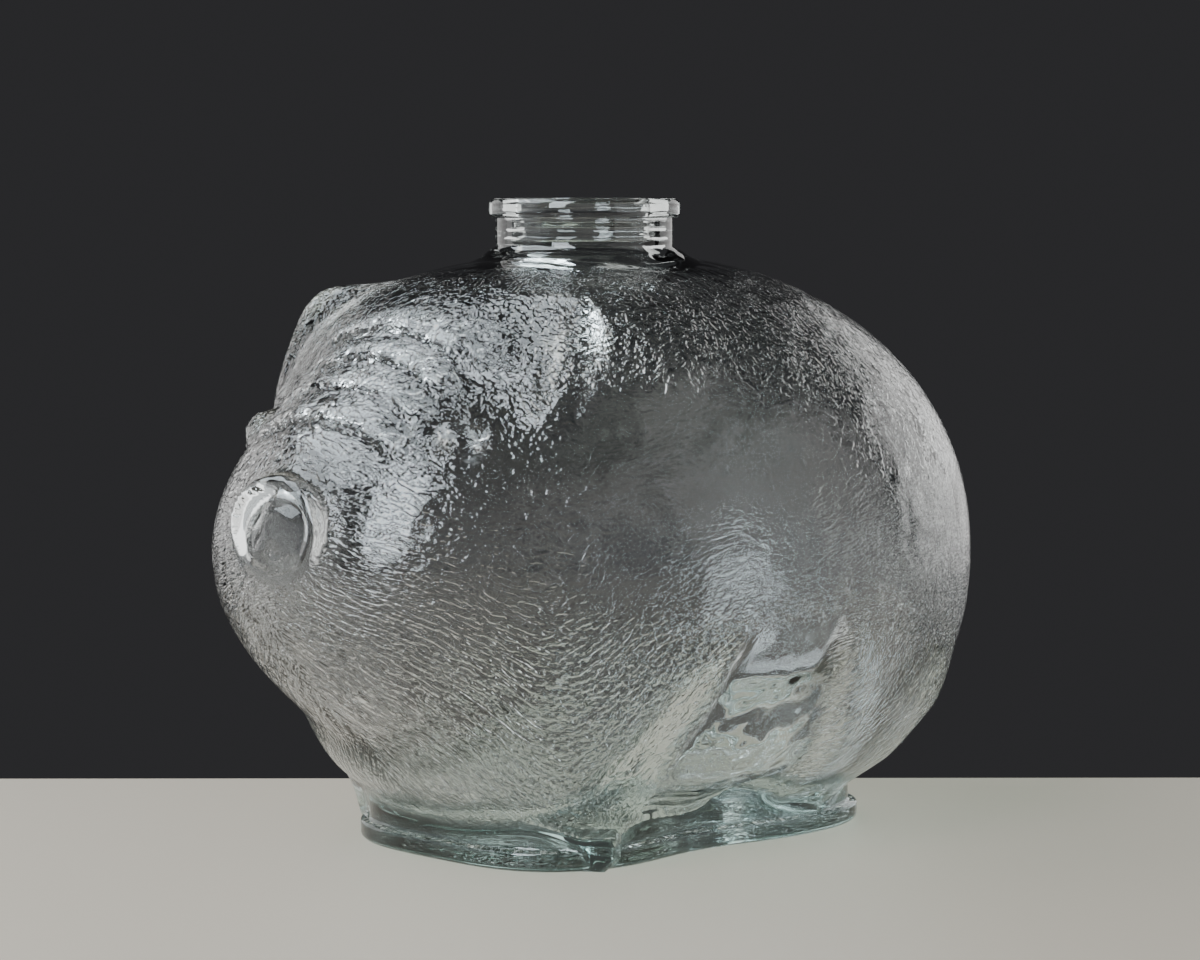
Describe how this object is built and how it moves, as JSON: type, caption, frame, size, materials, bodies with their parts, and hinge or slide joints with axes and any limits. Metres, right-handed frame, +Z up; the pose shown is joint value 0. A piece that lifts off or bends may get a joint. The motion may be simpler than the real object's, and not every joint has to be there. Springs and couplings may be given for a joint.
{
  "type": "coin bank jar",
  "caption": "Pig-shaped coin bank jar of clear pebbled glass, a hollow body on a slab foot with a round open neck on its back.",
  "frame": {"origin": "on the underside's plane, on the neck's axis", "axes": "+Z up along the neck's axis, -Y the way the pig looks, +X its left side"},
  "size_m": [0.222, 0.2833, 0.21],
  "materials": {
    "clear_glass": "clear pressed glass with a faint green tint in the thick parts; fine pebbled grain on the body, smooth on neck, snout, flank hollows and foot"
  },
  "bodies": {
    "root": {"glass_jar": "clear_glass"}
  },
  "joints": []
}
